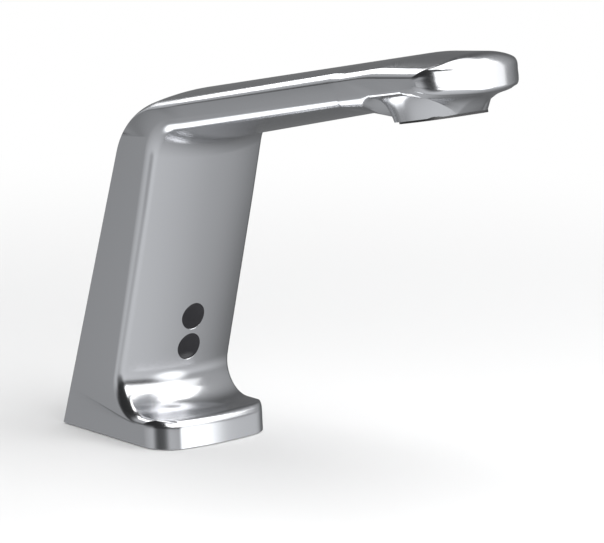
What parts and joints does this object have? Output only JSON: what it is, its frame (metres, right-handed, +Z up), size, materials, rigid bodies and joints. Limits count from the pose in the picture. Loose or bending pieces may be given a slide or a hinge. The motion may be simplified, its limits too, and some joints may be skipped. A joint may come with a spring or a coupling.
{
  "type": "sensor tap",
  "caption": "Deck-mounted touch-free basin tap: leaning chrome column on a short toe, rising spout, two round sensor windows, pilot valve inside.",
  "frame": {"origin": "on the deck, on the axis of the mounting shank, under the column's foot", "axes": "+Z up, X across the width, the spout points to -Y"},
  "size_m": [0.05, 0.1855, 0.1913],
  "materials": {
    "chrome": "satin chrome plate on cast metal, soft wide reflections",
    "window": "black infrared window, polished",
    "black_plastic": "moulded black plastic, fine texture",
    "dark_plastic": "moulded dark grey plastic",
    "white_plastic": "natural white moulded plastic",
    "steel": "stainless steel",
    "zinc": "zinc plated steel",
    "brass": "machined brass",
    "copper": "enamelled copper wire",
    "rubber": "black rubber",
    "board": "green circuit board",
    "lens": "clear epoxy lens"
  },
  "bodies": {
    "tap_body": {"body_casting": "chrome", "emitter_window": "window", "receiver_window": "window", "outlet_fitting": "black_plastic", "outlet_screws": "steel", "outlet_o_ring": "rubber", "outlet_tube": "white_plastic", "tube_o_ring": "rubber", "valve_body": "dark_plastic", "valve_diaphragm": "rubber", "valve_bonnet": "dark_plastic", "bonnet_screws": "steel", "armature_tube": "steel", "plunger_spring": "steel", "coil_bobbin": "white_plastic", "coil_winding": "copper", "coil_can": "zinc", "coil_clip": "steel", "riser_tube": "steel", "riser_o_rings": "rubber", "inlet_manifold": "brass", "manifold_plug": "brass", "plug_o_ring": "rubber", "check_spring": "steel", "inlet_strainer": "steel", "sensor_housing": "dark_plastic", "sensor_board": "board", "ir_emitter": "lens", "ir_receiver": "window", "sensor_gasket": "rubber", "sensor_cover": "dark_plastic", "valve_lead": "rubber", "carrier": "zinc", "carrier_screws": "steel", "foot_screws": "steel", "base_plate": "zinc", "base_screws": "steel", "mounting_shank": "brass", "deck_gasket": "rubber", "lead_grommet": "rubber", "deck_washer": "rubber"},
    "plunger": {"plunger": "steel", "plunger_pad": "rubber"},
    "diaphragm_core": {"diaphragm_core": "white_plastic"},
    "check_poppet": {"check_poppet": "white_plastic", "poppet_seal": "rubber"},
    "aerator_seat": {"aerator_washer": "rubber"},
    "aerator": {"aerator_shell": "dark_plastic", "aerator_insert": "dark_plastic", "aerator_screen": "steel"},
    "clamp": {"clamp_washer": "zinc"},
    "nut": {"mounting_nut": "brass"}
  },
  "joints": [
    {"name": "plunger_slide", "type": "slide", "parent": "tap_body", "child": "plunger", "axis": [0, 0.2605, -0.9655], "range_m": [0, 0.0025], "stiffness_N_per_m": 200, "springref_m": -0.002, "deforming": ["plunger_spring"]},
    {"name": "core_slide", "type": "slide", "parent": "tap_body", "child": "diaphragm_core", "axis": [0, 0.2605, -0.9655], "range_m": [0, 0.0009], "deforming": ["valve_diaphragm"]},
    {"name": "poppet_slide", "type": "slide", "parent": "tap_body", "child": "check_poppet", "axis": [0, -0.2605, 0.9655], "range_m": [0, 0.002], "stiffness_N_per_m": 50, "springref_m": -0.001, "deforming": ["check_spring"]},
    {"name": "aerator_travel", "type": "slide", "parent": "tap_body", "child": "aerator_seat", "axis": [0, -0.2096, -0.9778], "range_m": [0, 0.004]},
    {"name": "aerator_spin", "type": "hinge", "parent": "aerator_seat", "child": "aerator", "pos_m": [0, -0.1355, 0.1245], "axis": [0, -0.2096, -0.9778], "range_deg": [0, 1440]},
    {"name": "clamp_travel", "type": "slide", "parent": "tap_body", "child": "clamp", "axis": [0, 0, -1], "range_m": [0, 0.015]},
    {"name": "nut_spin", "type": "hinge", "parent": "clamp", "child": "nut", "pos_m": [0, 0, -0.02], "axis": [0, 0, -1], "range_deg": [0, 3600]}
  ],
  "couplings": [
    {"joint": "core_slide", "follows": "plunger_slide", "ratio": 0.32},
    {"joint": "aerator_spin", "follows": "aerator_travel", "rad_per_m": 6283.2},
    {"joint": "nut_spin", "follows": "clamp_travel", "rad_per_m": 4188.8}
  ]
}
